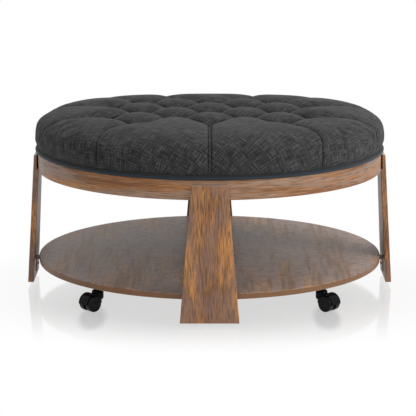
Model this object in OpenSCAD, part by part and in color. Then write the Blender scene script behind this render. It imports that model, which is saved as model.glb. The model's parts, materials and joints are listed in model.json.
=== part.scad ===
/* [Apron] */
// Outside diameter of the bent-wood apron ring
apron_d = 900; // [700:10:1100]
// Height of the apron ring
apron_h = 49; // [42:1:80]
// Wall of the apron ring
apron_wall = 14; // [10:1:20]
// Height of the apron's lower edge above the floor
apron_z = 307; // [250:1:400]

/* [Legs] */
// Thickness of a leg board, measured radially
leg_t = 15; // [12:0.5:22]
// Width of a leg at its top
leg_top_w = 87.6; // [76:0.2:120]
// Width of a leg at its foot
leg_foot_w = 144; // [90:1:200]
// How far the foot stands out beyond the top of the leg
leg_splay = 19; // [8:1:30]
// Gap between the foot of a leg and the floor
leg_clear = 10; // [4:1:20]
// How far the leg stops below the top edge of the apron
leg_drop = 12; // [6:1:20]
// Thickness of the tongue that laps the apron, at the top of the leg
tongue_t = 7.2; // [6.6:0.1:12]
// Gap between the tongue and the widest point of the apron
tongue_gap = 2; // [1:0.1:4]

/* [Shelf] */
// Diameter of the round shelf
shelf_d = 903; // [700:1:1100]
// Thickness of the shelf board
shelf_t = 15; // [12:1:25]
// Height of the underside of the shelf above the floor
shelf_z = 62; // [58:1:80]

/* [Seat] */
// Thickness of the plywood seat deck
deck_t = 12; // [9:1:18]
// How far the deck's edge stands in from the outside of the apron
deck_inset = 3.5; // [2:0.5:20]
// How far the cushion's side stands out beyond the apron
cushion_over = 4; // [0:0.5:8]
// Height of the cushion's upright side
cushion_side_h = 48; // [30:1:70]
// Height of the crown above the side
crown_h = 54; // [30:1:80]
// Fullness of the crown, where 2 is a round dome and more is a flatter top
crown_power = 4.6; // [2:0.1:8]
// How much lower the cushion sits at its back edge
back_slump = 18; // [0:1:24]
// Half the spacing of the tufts from side to side
tuft_x = 90; // [70:1:100]
// Half the spacing of the tufts from front to back
tuft_y = 85; // [70:1:92]
// Depth of a tuft below the pillows round it
tuft_depth = 26; // [12:1:32]
// Depth of the crease between two tufts
crease_depth = 15; // [6:1:20]
// Depth of the pleats that run from the outer tufts to the welt
pleat_depth = 12; // [4:1:16]
// How far the pleats draw in the side
side_pleat_depth = 4; // [1:0.5:8]
// Diameter of the welt cord round the foot of the cushion
welt_d = 10; // [6:0.5:14]

/* [Underframe] */
// Width of a leg block
block_w = 100; // [90:1:130]
// Depth of a leg block, measured radially
block_depth = 28; // [22:1:40]
// Height of the leg blocks and cleats
block_h = 40; // [32:1:41]
// Width of the cleats between the legs
cleat_w = 60; // [40:1:90]
// Width of a seat batten
batten_w = 30; // [20:1:40]
// Height of a seat batten
batten_h = 22; // [16:1:30]
// Thickness of the dust cover
dust_t = 0.8; // [0.5:0.1:2]

/* [Shelf brackets] */
// Thickness of the steel angle
bracket_t = 2.5; // [2:0.5:4]
// Width of the steel angle
bracket_w = 40; // [36:1:60]
// Length of the flange under the shelf
bracket_l = 52; // [44:1:70]
// Height of the flange against the leg
bracket_h = 36; // [30:1:44]

/* [Casters] */
// Distance of each caster's pivot from the middle, from side to side
caster_x = 280; // [200:1:300]
// Distance of each caster's pivot from the middle, from front to back
caster_y = 306; // [200:1:310]
// Angle of the trailing wheels from the side-to-side line
caster_turn = 43; // [0:1:90]
// Diameter of a caster wheel
wheel_d = 41; // [38:0.5:43]
// Overall width across the two wheels
wheel_span = 38; // [34:0.5:44]
// Gap between the two wheels
wheel_gap = 9.6; // [8.6:0.1:11]
// Distance of the axle behind the pivot
trail = 24; // [22:0.5:27]
// Diameter of the wheel axle
axle_d = 6; // [5:0.5:7]
// Diameter of the king pin
king_d = 8; // [6:0.5:9]
// Width of the hood over the wheels
hood_w = 32; // [28:0.5:33]
// Wall of the hood over the tread
hood_wall = 2.4; // [1.6:0.1:3]
// Side of the square mounting plate
plate_w = 38; // [36:1:44]
// Thickness of the mounting plate
plate_t = 2.5; // [2:0.5:3]

/* [Fasteners] */
// Diameter of the leg bolts
leg_bolt_d = 6; // [5:0.5:6.5]
// Diameter of the bolts that hold the brackets to the legs
bracket_bolt_d = 5; // [4:0.5:5.5]
// Diameter of the wood screws
screw_d = 4; // [3:0.5:4.5]

/* [Hidden] */
$fn = 96;

// Overrun of every cut past the face that it opens
over = 1;
// Air round a bolt, screw or insert that is held
fit = 0.05;
// Air between two soft or curved pieces that rest on each other
seat_gap = 0.3;
// Radial running clearance of the king pins and the wheel axles
run_fit = 0.05;

// Apron
apron_r = apron_d / 2;
apron_in = apron_r - apron_wall;
apron_top = apron_z + apron_h;
// Eased edge of the bent and turned wood
wood_ease = 1.6;

// Legs, whose places round the table are angles from the right
leg_angles = [-90, 0, 90, 180];
tongue_r = apron_r + tongue_gap;
leg_top_z = apron_top - leg_drop;
leg_run = leg_top_z - leg_clear;
lean = atan(leg_splay / leg_run);
// Flat taken off the long edges of a leg
leg_ease = 0.9;
// Outer and inner face of a leg at height z
function leg_out(z) = tongue_r + tongue_t + leg_splay * (leg_top_z - z) / leg_run;
function leg_in(z) = leg_out(z) - leg_t;
function leg_half_w(z) = (leg_foot_w + (leg_top_w - leg_foot_w) * (z - leg_clear) / leg_run) / 2;

// Bolts that draw each leg against the apron
leg_bolt_y = 28;
leg_bolt_z = (apron_z + leg_top_z) / 2;
spacer_r = 8;
// A spacer's flat face meets the round apron along its edge nearest the middle of the leg
spacer_x = sqrt(pow(apron_r, 2) - pow(leg_bolt_y - spacer_r, 2)) + fit;
insert_wall = 1.5;
insert_l = 6;
insert_hole_l = insert_l + fit;
// Radius of a socket head as a share of the bolt's diameter
socket_head_share = 0.83;
leg_bolt_head_r = leg_bolt_d * socket_head_share;
leg_bolt_head_h = leg_bolt_d;
leg_bolt_grip = insert_l - insert_wall;
bolt_air = 0.3;
washer_t = 1.6;
washer_r = leg_bolt_d;

// Seat deck and welt
deck_r = apron_r - deck_inset;
deck_z = apron_top;
deck_top = deck_z + deck_t;
welt_r = welt_d / 2;
welt_ring_r = deck_r + seat_gap + welt_r;
welt_z = apron_top + welt_r + seat_gap;

// Cushion
cushion_z = deck_top + seat_gap;
cushion_r = apron_r + cushion_over;
side_top = cushion_z + cushion_side_h;
side_bulge = 2;
bulge_drop = 6;
foot_inset = cushion_over + 3;
pillow_w = 58;
pleat_w = 60;
tuft_w = 50;
// Share of a groove that is a sharp fold, where the rest is a soft hollow
fold_share = 0.45;

// Tufts stand where column and row add up to an odd number, in rows half a step off the middle
tuft_columns = 3;
tuft_row_first = -3;
tuft_row_last = 2;
tuft_rows = [tuft_row_first:tuft_row_last];
// Reach of the tufted field as a share of the cushion's radius
tuft_reach_share = 0.75;
function tuft(i, j) = [i * tuft_x, (j + 0.5) * tuft_y];
function is_tuft(i, j) =
    (i + j) % 2 != 0 && abs(i) <= tuft_columns && j >= tuft_row_first && j <= tuft_row_last
    && norm(tuft(i, j)) < tuft_reach_share * cushion_r;
tuft_points = [
    for (i = [-tuft_columns:tuft_columns], j = tuft_rows) if (is_tuft(i, j)) tuft(i, j)
];
crease_lines = [
    for (i = [-tuft_columns:tuft_columns], j = tuft_rows, s = [-1, 1])
        if (is_tuft(i, j) && is_tuft(i + 1, j + s)) [tuft(i, j), tuft(i + 1, j + s)]
];
// Column and row of each outer tuft and the angle from the front at which its pleat ends
pleats = [[0, -3, 0], [2, -3, 37.2], [3, -2, 69], [3, 0, 98], [2, 1, 131], [1, 2, 160]];
pleat_lines = [
    for (p = pleats, s = [-1, 1]) if (p[0] != 0 || s > 0)
        [tuft(s * p[0], p[1]), cushion_r * [s * sin(p[2]), -cos(p[2])]]
];

// The tufted field is a grid whose cells follow the creases, with rings from its edge to the foot
cells = 4;
grid_n = 2 * tuft_columns * cells;
rim_n = 4 * grid_n;
// Reach of each ring as a share of the radius, and how far it has turned from a square to a circle
ring_shares = [[0.89, 0.5], [0.9, 1], [0.955, 1], [0.99, 1]];

// Tuft ties
tie_r = 1.2;
tie_washer_r = 9;
tie_washer_t = 1.6;
tie_hole_r = 3;

// Blocks, cleats and their screws
block_z = apron_top - block_h;
block_in = apron_in - block_depth;
batten_y = tuft_y;
deck_screw_y = 40;
deck_screw_x = apron_in - block_depth / 2;
counterbore_r = 4.8;
counterbore_l = 6;
deck_screw_bite = deck_t - 2.5;
screw_r = screw_d / 2;
screw_head_r = 3.9;
screw_head_h = 2.4;
screw_socket_r = 1.6;
screw_tip_l = 3;
cleat_angles = [45, 135, 225, 315];
batten_end_gap = 0.3;
batten_r = apron_in - batten_end_gap;
// Places of the screws along a batten, as shares of its half length
batten_screw_shares = [-0.82, -0.3, 0.3, 0.82];
dust_r = apron_in - 1;

// Shelf
shelf_r = shelf_d / 2;
shelf_top = shelf_z + shelf_t;

// Shelf brackets
bracket_bolt_y = 11;
// Depth of the bracket bolts as a share of the flange
bracket_bolt_share = 0.58;
bracket_bolt_z = shelf_z - bracket_h * bracket_bolt_share;
bracket_screw_y = 11;
bracket_screw_x = 12;
bracket_bend = 2;
bracket_insert_l = 10;
bracket_head_r = 4.6;
bracket_head_h = 2.8;
shelf_bite = shelf_t - 4;

// Casters, each with its pivot at the origin, trailing along +X
caster_names = ["front_left", "front_right", "back_left", "back_right"];
caster_sides = [[-1, -1], [1, -1], [-1, 1], [1, 1]];
wheel_r = wheel_d / 2;
wheel_w = (wheel_span - wheel_gap) / 2;
wheel_air = 1.4;
pocket_r = wheel_r + wheel_air;
hood_r = pocket_r + hood_wall;
skirt_drop = 0.5;
web_air = 0.6;
web_w = wheel_gap - 2 * web_air;
hub_r = axle_d / 2 + 4;
axle_reach = wheel_gap / 2 + wheel_w - 3.6;
axle_r = axle_d / 2;
boss_r = 15;
boss_z = wheel_r + 6.5;
boss_round = 4;
boss_top = hood_r + wheel_r + 4.5;
neck_r = 10;
swivel_t = 1.2;
plate_z = shelf_z - plate_t;
neck_top = plate_z - swivel_t - 2 * seat_gap;
king_r = king_d / 2;
king_bore_r = king_r + run_fit;
king_foot = boss_z + 3;
clip_z = king_foot + 5;
clip_t = 1.2;
clip_bite = 0.7;
plate_corner = 4;
plate_hole = 13;
swivel_r = 9.4;
wheel_round = 1.6;
dish_r = 16;
dish_hub_r = 5;
dish_depth = 1.2;
pocket_in_r = 7;
pocket_out_r = 16.6;
pocket_depth = 6.5;

function caster_angle(side) = side[0] > 0 ? side[1] * caster_turn : 180 - side[1] * caster_turn;

module at_caster(side) {
    translate([side[0] * caster_x, side[1] * caster_y, 0])
        rotate([0, 0, caster_angle(side)]) children();
}

module at_legs() {
    for (a = leg_angles) rotate([0, 0, a]) children();
}

// A bar along the X axis from x0 to x1
module bar_x(x0, x1, r) {
    translate([x0, 0, 0]) rotate([0, 90, 0]) cylinder(h = x1 - x0, r = r);
}

// A ring along the X axis from x0 to x1
module tube_x(x0, x1, r, bore) {
    difference() {
        bar_x(x0, x1, r);
        bar_x(x0 - over, x1 + over, bore);
    }
}

// A bar along the Y axis, centred on it
module bar_y(w, r) {
    rotate([90, 0, 0]) cylinder(h = w, r = r, center = true);
}

// A pan-head wood screw, driven up from its seat at z = 0
module wood_screw(l) {
    difference() {
        rotate_extrude()
            polygon([
                [0, -screw_head_h], [screw_head_r * 0.55, -screw_head_h],
                [screw_head_r * 0.9, -screw_head_h * 0.7], [screw_head_r, -screw_head_h * 0.3],
                [screw_head_r, 0], [screw_r, 0], [screw_r, l - screw_tip_l], [0, l]
            ]);
        translate([0, 0, -screw_head_h - over])
            cylinder(h = over + screw_head_h * 0.6, r = screw_socket_r, $fn = 6);
    }
}

// A socket-head bolt along +X from its seat at x = 0
module socket_bolt(l, r, head_r, head_h) {
    difference() {
        union() {
            bar_x(-head_h, 0, head_r);
            bar_x(0, l, r);
        }
        translate([-head_h - over, 0, 0]) rotate([0, 90, 0])
            cylinder(h = over + head_h * 0.55, r = r * 0.8, $fn = 6);
    }
}

// A rectangle whose corners are cut back, for turned and bent boards
module eased_section(x0, x1, z0, z1, ease) {
    polygon([
        [x0, z0], [x1 - ease, z0], [x1 - ease * 0.3, z0 + ease * 0.3], [x1, z0 + ease],
        [x1, z1 - ease], [x1 - ease * 0.3, z1 - ease * 0.3], [x1 - ease, z1], [x0, z1]
    ]);
}

// Takes a flat of depth d off the edge from p to q, whose outward bisector is n
module ease_edge(p, q, n, d) {
    v = q - p;
    l = norm(v);
    z = v / l;
    y = cross(z, n) / norm(cross(z, n));
    x = cross(y, z);
    multmatrix([
        [x[0], y[0], z[0], p[0]],
        [x[1], y[1], z[1], p[1]],
        [x[2], y[2], z[2], p[2]],
        [0, 0, 0, 1]
    ])
        translate([-d, -4 * d, -over]) cube([4 * d, 8 * d, l + 2 * over]);
}

// Distance from a point to the line from a to b
function line_share(p, a, b) = max(0, min(1, (p - a) * (b - a) / ((b - a) * (b - a))));
function line_gap(p, a, b) = norm(p - a - line_share(p, a, b) * (b - a));
// A groove that is 1 on its line and 0 at its width
function groove(d, w) =
    let (u = max(0, 1 - d / w))
    fold_share * (1 - sqrt(1 - 0.96 * u * u)) / 0.8 + (1 - fold_share) * u * u;
function smooth(t) = let (u = max(0, min(1, t))) u * u * (3 - 2 * u);
function product(v, i = 0) = i == len(v) ? 1 : v[i] * product(v, i + 1);

// Height of the crowned top before it is tufted
function crown_z(p) =
    side_top + (crown_h - back_slump * smooth(p[1] / cushion_r))
    * sqrt(max(0, 1 - pow(min(1, norm(p) / cushion_r), crown_power)));

// Depth of the tufting below the crown, where creases and pleats add up to smooth pillows
function tuft_sink(p) =
    let (
        crease = product([for (c = crease_lines) 1 - groove(line_gap(p, c[0], c[1]), pillow_w)]),
        pleat = product([
            for (c = pleat_lines)
                1 - groove(line_gap(p, c[0], c[1]), pleat_w) * pleat_depth / crease_depth
        ]),
        tuft = product([for (t = tuft_points) 1 - groove(norm(p - t), tuft_w)])
    )
    crease_depth * (1 - crease * pleat) + (tuft_depth - crease_depth) * (1 - tuft);

// How far the pleats draw in the side at the direction d
function side_sink(d) =
    side_pleat_depth * (1 - product([
        for (c = pleat_lines) 1 - groove(norm(cushion_r * d - c[1]), pleat_w / 2)
    ]));

// A point of the tufted top, which fades into the side at the rim
function top_point(p) =
    let (k = min(1, (cushion_r - norm(p)) / pleat_w))
    [p[0], p[1], crown_z(p) - tuft_sink(p) * sqrt(max(0, k * (2 - k)))];

function grid_point(i, j) = [(i - grid_n / 2) * tuft_x, (j - grid_n / 2) * tuft_y] / cells;
// Column and row of the grid's edge point k, counted round from the front left corner
function edge_cell(k) =
    k < grid_n ? [k, 0]
    : k < 2 * grid_n ? [grid_n, k - grid_n]
    : k < 3 * grid_n ? [3 * grid_n - k, grid_n]
    : [0, 4 * grid_n - k];
function edge_point(k) = let (c = edge_cell(k)) grid_point(c[0], c[1]);
function edge_way(k) = edge_point(k) / norm(edge_point(k));

function ring_point(s, k) =
    let (p = edge_point(k), q = s[0] * cushion_r * edge_way(k))
    top_point(p + (q - p) * s[1] - edge_way(k) * side_sink(edge_way(k)) * s[1]);
function side_point(r, z, k) =
    let (d = edge_way(k), q = (r - side_sink(d)) * d) [q[0], q[1], z];

module seat_cushion() {
    row = grid_n + 1;
    field = [for (j = [0:grid_n], i = [0:grid_n]) top_point(grid_point(i, j))];
    rings = [
        for (s = ring_shares) each [for (k = [0:rim_n - 1]) ring_point(s, k)],
        for (k = [0:rim_n - 1]) side_point(cushion_r + side_bulge, side_top - bulge_drop, k),
        for (k = [0:rim_n - 1]) side_point(cushion_r - foot_inset, cushion_z, k)
    ];
    ring_n = len(rings) / rim_n;
    first = row * row;
    last = first + len(rings);
    edge = [for (k = [0:rim_n - 1]) let (c = edge_cell(k)) c[1] * row + c[0]];
    loops = [edge, for (r = [0:ring_n - 1]) [for (k = [0:rim_n - 1]) first + r * rim_n + k]];
    faces = [
        for (j = [0:grid_n - 1], i = [0:grid_n - 1])
            let (
                a = j * row + i, b = a + 1, c = a + row, d = c + 1,
                rising = (floor(i / cells) + floor((j - cells / 2) / cells)) % 2 != 0
            )
            each rising ? [[a, d, b], [a, c, d]] : [[a, c, b], [b, c, d]],
        for (r = [0:ring_n - 1], k = [0:rim_n - 1])
            let (n = (k + 1) % rim_n, u = loops[r], v = loops[r + 1])
            each [[u[k], u[n], v[k]], [u[n], v[n], v[k]]],
        for (k = [0:rim_n - 1]) [last, loops[ring_n][k], loops[ring_n][(k + 1) % rim_n]]
    ];
    color("#3c3d40") polyhedron(concat(field, rings, [[0, 0, cushion_z]]), faces, convexity = 8);
}

module welt_cord() {
    color("#1e2933") translate([0, 0, welt_z])
        rotate_extrude() translate([welt_ring_r, 0]) circle(r = welt_r);
}

module seat_deck() {
    color("#c9a878") difference() {
        translate([0, 0, deck_z]) cylinder(h = deck_t, r = deck_r);
        for (t = tuft_points)
            translate([t[0], t[1], deck_z - over]) cylinder(h = deck_t + 2 * over, r = tie_hole_r);
        at_deck_screws() translate([0, 0, deck_z - over])
            cylinder(h = over + deck_screw_bite + fit, r = screw_r + fit);
        at_batten_screws() translate([0, 0, deck_z - over])
            cylinder(h = over + deck_screw_bite + fit, r = screw_r + fit);
    }
}

module tuft_ties() {
    color("#d8d4c8") for (t = tuft_points) translate([t[0], t[1], 0]) union() {
        translate([0, 0, deck_z - tie_washer_t]) cylinder(h = tie_washer_t, r = tie_washer_r);
        translate([0, 0, deck_z - tie_washer_t]) cylinder(h = deck_t + tie_washer_t, r = tie_r);
        translate([0, 0, deck_z - 2 * tie_washer_t]) cylinder(h = tie_washer_t, r = 2 * tie_r);
    }
}

module dust_cover() {
    color("#17181a") translate([0, 0, block_z - dust_t]) cylinder(h = dust_t, r = dust_r);
}

module at_batten_screws() {
    for (s = [-1, 1], u = batten_screw_shares)
        translate([u * sqrt(batten_r * batten_r - batten_y * batten_y), s * batten_y, 0])
            children();
}

module seat_battens() {
    color("#d8b98a") difference() {
        intersection() {
            for (s = [-1, 1]) translate([-apron_r, s * batten_y - batten_w / 2, deck_z - batten_h])
                cube([apron_d, batten_w, batten_h]);
            translate([0, 0, deck_z - batten_h - over])
                cylinder(h = batten_h + 2 * over, r = batten_r);
        }
        at_batten_screws() translate([0, 0, deck_z - batten_h - over])
            cylinder(h = batten_h + 2 * over, r = screw_r + fit);
    }
}

module batten_screws() {
    color("#b9bcc0") at_batten_screws()
        translate([0, 0, deck_z - batten_h]) wood_screw(batten_h + deck_screw_bite);
}

module at_deck_screws() {
    at_legs() for (s = [-1, 1]) translate([deck_screw_x, s * deck_screw_y, 0]) children();
    for (a = cleat_angles) rotate([0, 0, a]) translate([deck_screw_x, 0, 0]) children();
}

// A block glued inside the apron, with its outer face bent to the ring
module ring_block(w) {
    intersection() {
        translate([block_in, -w / 2, block_z]) cube([block_depth, w, block_h]);
        translate([0, 0, block_z - over]) cylinder(h = block_h + 2 * over, r = apron_in - fit);
    }
}

module deck_screw_holes() {
    at_deck_screws() {
        translate([0, 0, block_z - over]) cylinder(h = over + counterbore_l, r = counterbore_r);
        translate([0, 0, block_z]) cylinder(h = block_h + over, r = screw_r + fit);
    }
}

module leg_blocks() {
    color("#cfa56e") difference() {
        at_legs() ring_block(block_w);
        deck_screw_holes();
        leg_bolt_holes();
    }
}

module corner_cleats() {
    color("#cfa56e") difference() {
        for (a = cleat_angles) rotate([0, 0, a]) ring_block(cleat_w);
        deck_screw_holes();
    }
}

module deck_screws() {
    color("#b9bcc0") at_deck_screws() translate([0, 0, block_z + counterbore_l])
        wood_screw(block_h - counterbore_l + deck_screw_bite);
}

module at_leg_bolts() {
    at_legs() for (s = [-1, 1]) translate([0, s * leg_bolt_y, leg_bolt_z]) children();
}

module leg_bolt_holes() {
    at_leg_bolts() bar_x(block_in - over, tongue_r, leg_bolt_d / 2 + bolt_air);
}

module apron_ring() {
    color("#96663c") difference() {
        rotate_extrude() eased_section(apron_in, apron_r, apron_z, apron_top, wood_ease);
        leg_bolt_holes();
    }
}

// One leg, standing out along +X
module leg_board() {
    z0 = leg_clear;
    z1 = leg_top_z;
    difference() {
        intersection() {
            rotate([90, 0, 0]) linear_extrude(height = leg_foot_w, center = true)
                polygon([
                    [leg_out(z1) - leg_ease, z1], [leg_out(z1), z1 - leg_ease],
                    [leg_out(z0), z0 + leg_ease], [leg_out(z0) - leg_ease, z0],
                    [leg_in(z0) + leg_ease, z0], [leg_in(z0), z0 + leg_ease],
                    [leg_in(apron_z), apron_z], [tongue_r, apron_z], [tongue_r, z1]
                ]);
            rotate([90, 0, 90]) linear_extrude(height = 2 * apron_r)
                polygon([
                    [-leg_half_w(z0), z0], [leg_half_w(z0), z0],
                    [leg_half_w(z1), z1], [-leg_half_w(z1), z1]
                ]);
        }
        for (s = [-1, 1]) {
            ease_edge(
                [leg_out(z0), s * leg_half_w(z0), z0],
                [leg_out(z1), s * leg_half_w(z1), z1], [1, s, 0], leg_ease
            );
            ease_edge(
                [leg_in(z0), s * leg_half_w(z0), z0],
                [leg_in(apron_z), s * leg_half_w(apron_z), apron_z], [-1, s, 0], leg_ease
            );
            translate([0, s * leg_bolt_y, leg_bolt_z])
                bar_x(tongue_r - over, tongue_r + insert_hole_l, leg_bolt_d / 2 + insert_wall + fit);
            at_leg_face(bracket_bolt_z) translate([0, s * bracket_bolt_y, 0])
                bar_x(-over, bracket_insert_l + fit, bracket_bolt_d / 2 + insert_wall + fit);
        }
    }
}

// The inner face of a leg at height z, with +X running into the wood
module at_leg_face(z) {
    translate([leg_in(z), 0, z]) rotate([0, -lean, 0]) children();
}

module front_leg() { color("#a87448") rotate([0, 0, leg_angles[0]]) leg_board(); }
module right_leg() { color("#a87448") rotate([0, 0, leg_angles[1]]) leg_board(); }
module back_leg() { color("#a87448") rotate([0, 0, leg_angles[2]]) leg_board(); }
module left_leg() { color("#a87448") rotate([0, 0, leg_angles[3]]) leg_board(); }

module leg_spacers() {
    color("#2b2b2c") at_leg_bolts()
        tube_x(spacer_x, tongue_r, spacer_r, leg_bolt_d / 2 + bolt_air);
}

module leg_inserts() {
    color("#b08d4c") at_leg_bolts()
        tube_x(tongue_r, tongue_r + insert_l, leg_bolt_d / 2 + insert_wall, leg_bolt_d / 2 + fit);
}

module leg_bolts() {
    color("#8e9196") at_leg_bolts() translate([block_in - washer_t, 0, 0])
        socket_bolt(
            tongue_r + leg_bolt_grip - block_in + washer_t,
            leg_bolt_d / 2, leg_bolt_head_r, leg_bolt_head_h
        );
}

module leg_bolt_washers() {
    color("#a3a6ab") at_leg_bolts()
        tube_x(block_in - washer_t, block_in, washer_r, leg_bolt_d / 2 + fit);
}

module shelf_board() {
    color("#7d6d5e") difference() {
        rotate_extrude() eased_section(0, shelf_r, shelf_z, shelf_top, wood_ease);
        at_bracket_screws() translate([0, 0, shelf_z - over])
            cylinder(h = over + shelf_bite + fit, r = screw_r + fit);
        at_caster_screws() translate([0, 0, shelf_z - over])
            cylinder(h = over + shelf_bite + fit, r = screw_r + fit);
    }
}

module at_bracket_screws() {
    at_legs() for (s = [-1, 1])
        translate([leg_in(shelf_z) - bracket_l + bracket_screw_x, s * bracket_screw_y, 0])
            children();
}

module at_bracket_bolts() {
    at_legs() at_leg_face(bracket_bolt_z) for (s = [-1, 1])
        translate([0, s * bracket_bolt_y, 0]) children();
}

module shelf_brackets() {
    z1 = shelf_z;
    z0 = shelf_z - bracket_h;
    x0 = leg_in(z1) - bracket_l;
    color("#26272a") difference() {
        at_legs() rotate([90, 0, 0]) linear_extrude(height = bracket_w, center = true)
            polygon([
                [x0, z1], [leg_in(z1), z1], [leg_in(z0), z0], [leg_in(z0) - bracket_t, z0],
                [leg_in(z1 - bracket_t - bracket_bend) - bracket_t, z1 - bracket_t - bracket_bend],
                [leg_in(z1 - bracket_t) - bracket_t - bracket_bend, z1 - bracket_t],
                [x0, z1 - bracket_t]
            ]);
        at_bracket_screws() translate([0, 0, shelf_z - bracket_t - over])
            cylinder(h = bracket_t + 2 * over, r = screw_r + fit);
        at_bracket_bolts() bar_x(-bracket_t - over, over, bracket_bolt_d / 2 + bolt_air);
    }
}

module bracket_screws() {
    color("#b9bcc0") at_bracket_screws() translate([0, 0, shelf_z - bracket_t])
        wood_screw(bracket_t + shelf_bite);
}

module bracket_bolts() {
    color("#8e9196") at_bracket_bolts() translate([-bracket_t, 0, 0])
        socket_bolt(
            bracket_t + bracket_insert_l - insert_wall,
            bracket_bolt_d / 2, bracket_head_r, bracket_head_h
        );
}

module bracket_inserts() {
    color("#b08d4c") at_bracket_bolts()
        tube_x(0, bracket_insert_l, bracket_bolt_d / 2 + insert_wall, bracket_bolt_d / 2 + fit);
}

module at_caster_screws() {
    for (side = caster_sides) at_caster(side) for (x = [-1, 1], y = [-1, 1])
        translate([x * plate_hole, y * plate_hole, 0]) children();
}

module caster_plates() {
    e = plate_w / 2;
    c = e - plate_corner;
    color("#5b5e63") difference() {
        for (side = caster_sides) at_caster(side) translate([0, 0, plate_z])
            linear_extrude(height = plate_t)
                polygon([[-e, -c], [-c, -e], [c, -e], [e, -c], [e, c], [c, e], [-c, e], [-e, c]]);
        for (side = caster_sides) at_caster(side) translate([0, 0, plate_z - over])
            cylinder(h = plate_t + 2 * over, r = king_r + fit);
        at_caster_screws() translate([0, 0, plate_z - over])
            cylinder(h = plate_t + 2 * over, r = screw_r + fit);
    }
}

module caster_screws() {
    color("#b9bcc0") at_caster_screws() translate([0, 0, plate_z])
        wood_screw(plate_t + shelf_bite);
}

module king_pins() {
    color("#8e9196") for (side = caster_sides) at_caster(side)
        rotate_extrude()
            polygon([
                [0, king_foot + seat_gap], [king_r - clip_bite, king_foot + seat_gap],
                [king_r, king_foot + seat_gap + clip_bite],
                [king_r, clip_z - clip_t / 2], [king_r - clip_bite, clip_z - clip_t / 2],
                [king_r - clip_bite, clip_z + clip_t / 2], [king_r, clip_z + clip_t / 2],
                [king_r, shelf_z], [0, shelf_z]
            ]);
}

module king_pin_clips() {
    color("#6f7276") for (side = caster_sides) at_caster(side)
        translate([0, 0, clip_z - clip_t / 2 + fit]) difference() {
            cylinder(h = clip_t - 2 * fit, r = king_r + clip_bite);
            translate([0, 0, -over]) cylinder(h = clip_t + 2 * over, r = king_r - clip_bite + fit);
            translate([0, -clip_bite, -over])
                cube([2 * king_r, 2 * clip_bite, clip_t + 2 * over]);
        }
}

module swivel_washers() {
    color("#d9d6cc") for (side = caster_sides) at_caster(side)
        translate([0, 0, neck_top + seat_gap]) difference() {
            cylinder(h = swivel_t, r = swivel_r);
            translate([0, 0, -over]) cylinder(h = swivel_t + 2 * over, r = king_r + 2 * fit);
        }
}

// Moulded hood: an arch over both treads, a web between the wheels and a socket for the king pin
module hood(side) {
    color("#1b1b1d") at_caster(side) difference() {
        union() {
            intersection() {
                translate([trail, 0, wheel_r]) union() {
                    difference() {
                        bar_y(hood_w, hood_r);
                        bar_y(hood_w + 2 * over, pocket_r);
                    }
                    bar_y(web_w, hood_r);
                }
                translate([-boss_r, -hood_w, wheel_r - skirt_drop])
                    cube([boss_r + trail + 2 * hood_r, 2 * hood_w, 2 * hood_r]);
            }
            translate([trail, 0, wheel_r]) bar_y(web_w, hub_r);
            difference() {
                rotate_extrude()
                    polygon([
                        [0, boss_z], [boss_r - boss_round / 2, boss_z], [boss_r, boss_z + boss_round],
                        [boss_r, boss_top - boss_round], [boss_r - boss_round * 0.3, boss_top - boss_round * 0.3],
                        [neck_r + boss_round * 0.3, boss_top + boss_round * 0.2],
                        [neck_r, boss_top + boss_round * 0.6],
                        [neck_r, neck_top], [0, neck_top]
                    ]);
                for (s = [-1, 1]) translate([trail, s * (web_w / 2 + hood_w / 2), wheel_r])
                    bar_y(hood_w, pocket_r);
            }
        }
        translate([trail, 0, wheel_r]) bar_y(wheel_span, axle_r + fit / 2);
        translate([0, 0, king_foot]) cylinder(h = neck_top - king_foot + over, r = king_bore_r);
        translate([0, 0, clip_z - clip_t]) cylinder(h = 2 * clip_t, r = king_r + 2 * clip_bite - fit);
    }
}

module axle(side) {
    color("#9a9da2") at_caster(side) translate([trail, 0, wheel_r]) bar_y(2 * axle_reach, axle_r);
}

// A moulded wheel on side s of the hood, with a dished outer face and a hollow inner one
module wheel(side, s) {
    y0 = wheel_gap / 2;
    y1 = wheel_gap / 2 + wheel_w;
    color("#141415") at_caster(side) translate([trail, 0, wheel_r]) rotate([-90 * s, 0, 0])
        rotate_extrude()
            polygon([
                [axle_r + run_fit, y0], [pocket_in_r, y0], [pocket_in_r + dish_depth, y0 + pocket_depth],
                [pocket_out_r, y0 + pocket_depth], [pocket_out_r + dish_depth, y0],
                [wheel_r - wheel_round, y0], [wheel_r - wheel_round * 0.3, y0 + wheel_round * 0.3],
                [wheel_r, y0 + wheel_round], [wheel_r, y1 - wheel_round],
                [wheel_r - wheel_round * 0.3, y1 - wheel_round * 0.3], [wheel_r - wheel_round, y1],
                [dish_r + dish_depth, y1], [dish_r, y1 - dish_depth],
                [dish_hub_r + dish_depth, y1 - dish_depth], [dish_hub_r, y1], [0, y1],
                [0, axle_reach + seat_gap], [axle_r + run_fit, axle_reach + seat_gap]
            ]);
}

seat_cushion();
welt_cord();
seat_deck();
tuft_ties();
dust_cover();
seat_battens();
batten_screws();
leg_blocks();
corner_cleats();
deck_screws();
apron_ring();
front_leg();
right_leg();
back_leg();
left_leg();
leg_spacers();
leg_inserts();
leg_bolts();
leg_bolt_washers();
shelf_board();
shelf_brackets();
bracket_screws();
bracket_bolts();
bracket_inserts();
caster_plates();
caster_screws();
king_pins();
king_pin_clips();
swivel_washers();
for (i = [0:len(caster_names) - 1]) {
    name = caster_names[i];
    side = caster_sides[i];
    hood(side);
    axle(side);
    wheel(side, 1);
    wheel(side, -1);
}
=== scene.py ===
"""Round tufted ottoman coffee table on casters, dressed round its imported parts."""

import json
import logging
import math
from dataclasses import dataclass, field
from enum import Enum

import bpy
import numpy as np
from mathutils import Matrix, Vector
from mathutils.geometry import delaunay_2d_cdt
from mathutils.kdtree import KDTree

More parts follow.
